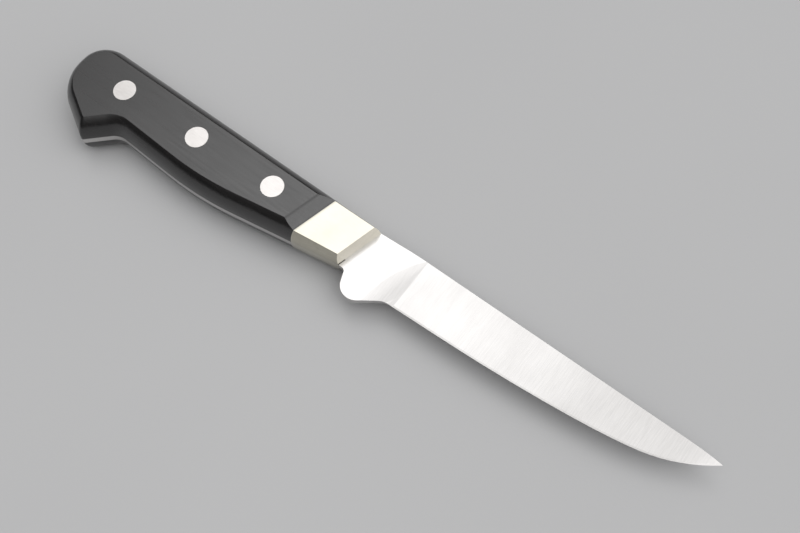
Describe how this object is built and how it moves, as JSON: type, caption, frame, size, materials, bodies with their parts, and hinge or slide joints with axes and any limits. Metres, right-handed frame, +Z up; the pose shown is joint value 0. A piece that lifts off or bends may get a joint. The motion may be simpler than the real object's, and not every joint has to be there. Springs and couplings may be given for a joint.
{
  "type": "boning knife",
  "caption": "Boning knife with a narrow pointed blade, lobed heel, slanted metal bolster and riveted black full-tang handle, lying on its side.",
  "frame": {"origin": "on the surface that the knife lies on, under the middle of its bounding box", "axes": "+X along the knife towards the tip, +Y towards the spine, +Z up through the thickness, from the side it lies on"},
  "size_m": [0.2205, 0.0304, 0.0158],
  "materials": {
    "blade_steel": "finely satin-polished stainless steel",
    "nickel_silver": "polished nickel silver, slightly yellow",
    "handle_black": "black resin-impregnated hardwood, satin",
    "rivet_steel": "stainless steel ground flush with the handle"
  },
  "bodies": {
    "root": {"blade_and_tang": "blade_steel", "bolster": "nickel_silver", "upper_scale": "handle_black", "lower_scale": "handle_black", "rivet_sleeve_1": "rivet_steel", "rivet_pin_1": "rivet_steel", "rivet_sleeve_2": "rivet_steel", "rivet_pin_2": "rivet_steel", "rivet_sleeve_3": "rivet_steel", "rivet_pin_3": "rivet_steel"}
  },
  "joints": []
}
